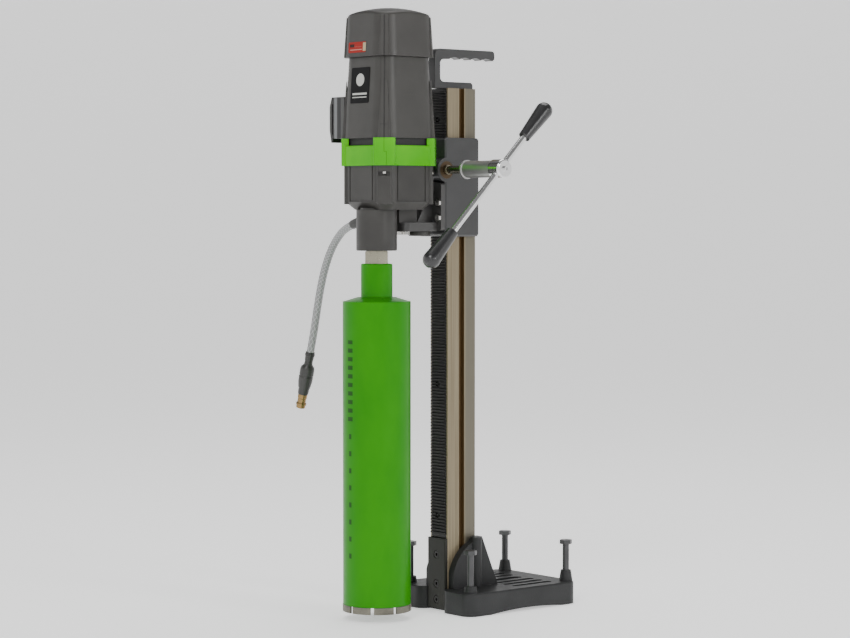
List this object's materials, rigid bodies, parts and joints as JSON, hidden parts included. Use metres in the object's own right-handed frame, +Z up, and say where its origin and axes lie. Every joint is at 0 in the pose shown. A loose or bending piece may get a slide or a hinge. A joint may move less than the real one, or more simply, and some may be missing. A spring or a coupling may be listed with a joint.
{
  "type": "core drill rig",
  "caption": "Column-mounted wet core drill rig: dark electric drill motor with a green core bit on a rack-fed carriage, with a sliding-bar feed crank and a levelling base.",
  "frame": {"origin": "on the ground under the middle of the column, on the base casting's flat pad", "axes": "+Z up along the column, -Y towards the drill, +X towards the feed crank"},
  "size_m": [0.3583, 0.3771, 0.897],
  "materials": {
    "cast_grey": "dark grey painted casting",
    "carriage_grey": "dark grey powder coat on cast aluminium",
    "case_grey": "dark grey fine-textured die casting",
    "body_plastic": "dark grey glass-filled nylon, fine grain",
    "band_green": "bright green glossy moulding",
    "bit_green": "green gloss paint on steel tube",
    "segment_steel": "sintered diamond segments",
    "column_bronze": "bronze anodised extrusion",
    "rack_black": "blackened steel",
    "strip_grey": "grey anodised",
    "zinc": "zinc plated steel",
    "bright_chrome": "bright chrome plate",
    "black_steel": "black oxide steel",
    "grip_black": "black moulded grip",
    "slide_plastic": "natural acetal",
    "bush_bronze": "sintered bronze",
    "copper": "enamelled copper and copper bars",
    "lamination": "lamination steel",
    "carbon": "pressed carbon",
    "spindle_steel": "ground steel",
    "hose_clear": "clear grey braided hose",
    "tap_grey": "dark grey moulded coupling",
    "nipple_brass": "turned brass",
    "plate_black": "blank black plate",
    "plate_red": "blank red plate",
    "seal_rubber": "nitrile"
  },
  "bodies": {
    "stand": {"base_casting": "cast_grey", "column_profile": "column_bronze", "rack": "rack_black", "foot_strip": "strip_grey", "foot_screws": "black_steel", "rack_screws": "black_steel", "column_screws": "zinc", "carry_handle": "carriage_grey"},
    "carriage": {"carriage_casting": "carriage_grey", "glide_pads": "slide_plastic", "glide_screws": "zinc", "pinion_bushes": "bush_bronze", "motor_bracket": "carriage_grey", "bracket_bolts": "zinc", "clamp_disc": "case_grey", "gear_housing": "case_grey", "clamping_neck": "case_grey", "spindle_bearings": "lamination", "shaft_seals": "seal_rubber", "water_fitting": "tap_grey", "hose_tube": "hose_clear", "hose_nut": "tap_grey", "hose_tap": "tap_grey", "hose_nipple": "nipple_brass", "duct_ring": "band_green", "bearing_plate": "case_grey", "shaft_bearings": "lamination", "motor_housing": "body_plastic", "housing_screws": "zinc", "stator_core": "lamination", "field_coils": "copper", "brush_holders": "nipple_brass", "carbon_brushes": "carbon", "fan_cap": "body_plastic", "control_module": "grip_black", "front_plate": "plate_black", "cap_plate": "plate_red", "switch_box": "body_plastic", "switch_cover": "body_plastic", "cable_gland": "grip_black"},
    "crank": {"pinion_shaft": "spindle_steel", "shaft_sleeve": "zinc", "crank_hub": "bright_chrome"},
    "bar": {"crank_bar": "bright_chrome", "bar_grips": "grip_black"},
    "spindle": {"spindle": "spindle_steel", "spindle_gear": "spindle_steel", "bit_connector": "bit_green", "core_barrel": "bit_green", "bit_segments": "segment_steel"},
    "countershaft": {"countershaft": "spindle_steel"},
    "armature": {"armature": "lamination", "commutator": "copper", "cooling_fan": "body_plastic"},
    "rocker": {"rocker_switch": "plate_red"},
    "feed_lock": {"lock_knob": "grip_black"},
    "screw_front_left": {"levelling_screw_front_left": "zinc"},
    "screw_front_right": {"levelling_screw_front_right": "zinc"},
    "screw_rear_left": {"levelling_screw_rear_left": "zinc"},
    "screw_rear_right": {"levelling_screw_rear_right": "zinc"}
  },
  "joints": [
    {"name": "carriage_slide", "type": "slide", "parent": "stand", "child": "carriage", "axis": [0, 0, 1], "range_m": [-0.44, 0.07]},
    {"name": "crank_spin", "type": "hinge", "parent": "carriage", "child": "crank", "pos_m": [0, -0.04, 0.661], "axis": [1, 0, 0], "range_deg": [-390, 2410]},
    {"name": "bar_slide", "type": "slide", "parent": "crank", "child": "bar", "axis": [0, 0.7071, 0.7071], "range_m": [-0.051, 0.113]},
    {"name": "spindle_spin", "type": "hinge", "parent": "carriage", "child": "spindle", "pos_m": [0, -0.1475, 0.53], "axis": [0, 0, 1], "continuous": true},
    {"name": "countershaft_spin", "type": "hinge", "parent": "carriage", "child": "countershaft", "pos_m": [0.02358, -0.12896, 0.63], "axis": [0, 0, 1], "continuous": true},
    {"name": "armature_spin", "type": "hinge", "parent": "carriage", "child": "armature", "pos_m": [0, -0.1245, 0.74], "axis": [0, 0, 1], "continuous": true},
    {"name": "rocker_tilt", "type": "hinge", "parent": "carriage", "child": "rocker", "pos_m": [-0.0685, -0.1515, 0.735], "axis": [0, 1, 0], "range_deg": [0, 15]},
    {"name": "lock_turn", "type": "hinge", "parent": "carriage", "child": "feed_lock", "pos_m": [-0.042, -0.016, 0.634], "axis": [-1, 0, 0], "range_deg": [0, 180]},
    {"name": "level_front_left", "type": "slide", "parent": "stand", "child": "screw_front_left", "axis": [0, 0, 1], "range_m": [-0.038, 0.012]},
    {"name": "level_front_right", "type": "slide", "parent": "stand", "child": "screw_front_right", "axis": [0, 0, 1], "range_m": [-0.038, 0.012]},
    {"name": "level_rear_left", "type": "slide", "parent": "stand", "child": "screw_rear_left", "axis": [0, 0, 1], "range_m": [-0.038, 0.012]},
    {"name": "level_rear_right", "type": "slide", "parent": "stand", "child": "screw_rear_right", "axis": [0, 0, 1], "range_m": [-0.038, 0.012]}
  ],
  "couplings": [
    {"joint": "crank_spin", "follows": "carriage_slide", "rad_per_m": -95.238},
    {"joint": "countershaft_spin", "follows": "spindle_spin", "ratio": -3},
    {"joint": "armature_spin", "follows": "spindle_spin", "ratio": 11.4}
  ]
}
